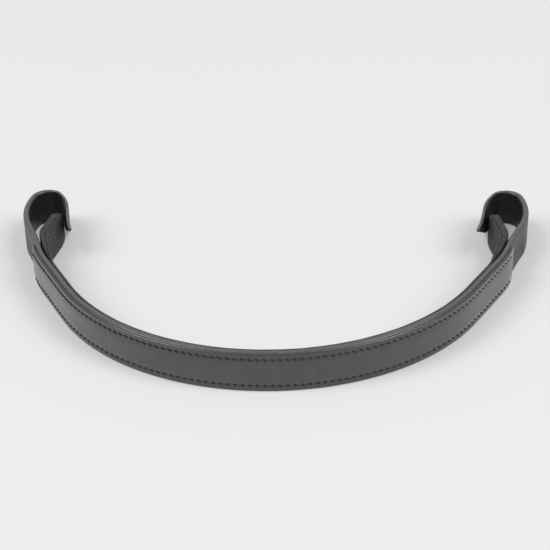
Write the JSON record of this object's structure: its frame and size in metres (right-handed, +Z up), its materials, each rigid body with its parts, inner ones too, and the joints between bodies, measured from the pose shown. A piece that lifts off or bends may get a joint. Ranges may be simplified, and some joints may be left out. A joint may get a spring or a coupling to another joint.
{
  "type": "bridle browband",
  "caption": "Curved leather browband for a horse's bridle: a raised, stitched and lined band whose end loops open to take the headpiece.",
  "frame": {"origin": "bottom centre of the bounding box, on the surface that the band stands on", "axes": "+Z up across the strap's width, +Y from the middle of the brow towards the loops, +X to the right seen from in front"},
  "size_m": [0.2166, 0.1336, 0.016],
  "materials": {
    "cover_leather": "satin",
    "strap_leather": "satin",
    "lining_leather": "matte",
    "tab_leather": "matte",
    "filler": "matte",
    "thread": "satin",
    "hook_tape": "matte",
    "loop_tape": "matte"
  },
  "bodies": {
    "root": {"front_cover": "cover_leather", "raised_filler": "filler", "base_strap": "strap_leather", "back_lining": "lining_leather", "upper_stitching": "thread", "lower_stitching": "thread", "left_closure_tab": "tab_leather", "left_loop_tape": "loop_tape", "left_tab_stitching": "thread", "right_closure_tab": "tab_leather", "right_loop_tape": "loop_tape", "right_tab_stitching": "thread"},
    "left_flap": {"left_loop_flap": "strap_leather", "left_hook_tape": "hook_tape"},
    "right_flap": {"right_loop_flap": "strap_leather", "right_hook_tape": "hook_tape"}
  },
  "joints": [
    {"name": "left_loop_hinge", "type": "hinge", "parent": "root", "child": "left_flap", "pos_m": [-0.10028, 0.06683, 0.008], "axis": [0, 0, 1], "range_deg": [0, 100]},
    {"name": "right_loop_hinge", "type": "hinge", "parent": "root", "child": "right_flap", "pos_m": [0.10028, 0.06683, 0.008], "axis": [0, 0, -1], "range_deg": [0, 100]}
  ]
}
